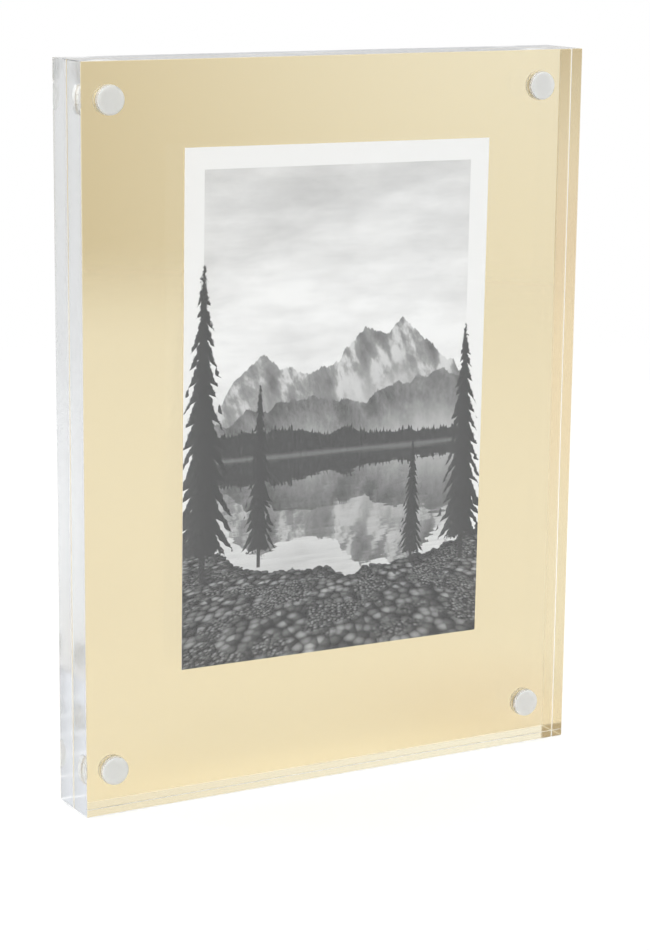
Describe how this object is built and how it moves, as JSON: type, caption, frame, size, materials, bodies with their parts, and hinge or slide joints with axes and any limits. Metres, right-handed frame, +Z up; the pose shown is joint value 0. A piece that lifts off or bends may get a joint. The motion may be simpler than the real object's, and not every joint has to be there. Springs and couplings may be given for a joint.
{
  "type": "acrylic block picture frame",
  "caption": "Free-standing picture frame: clear acrylic slabs held together by corner magnets, with a gold mirror sheet and a print clamped between them.",
  "frame": {"origin": "bottom centre of the closed frame, in the middle of its width and of its depth", "axes": "+X to the right as seen from the front, -Y out of the front, +Z up"},
  "size_m": [0.165, 0.0188, 0.2159],
  "materials": {
    "clear_acrylic": "polished, clear",
    "gold_mirror": "mirror-gold film",
    "photo_paper": "satin print",
    "nickel_plate": "satin nickel"
  },
  "bodies": {
    "rear": {"rear_block": "clear_acrylic", "gold_sheet": "gold_mirror", "rear_magnet_top_left": "nickel_plate", "rear_magnet_top_right": "nickel_plate", "rear_magnet_bottom_left": "nickel_plate", "rear_magnet_bottom_right": "nickel_plate"},
    "front": {"front_block": "clear_acrylic", "front_magnet_top_left": "nickel_plate", "front_magnet_top_right": "nickel_plate", "front_magnet_bottom_left": "nickel_plate", "front_magnet_bottom_right": "nickel_plate"},
    "print": {"photo_print": "photo_paper"}
  },
  "joints": [
    {"name": "front_lift_off", "type": "slide", "parent": "rear", "child": "front", "axis": [0, -1, 0], "range_m": [0, 0.1]},
    {"name": "print_lift_out", "type": "slide", "parent": "rear", "child": "print", "axis": [0, 0, 1], "range_m": [0, 0.18]}
  ]
}
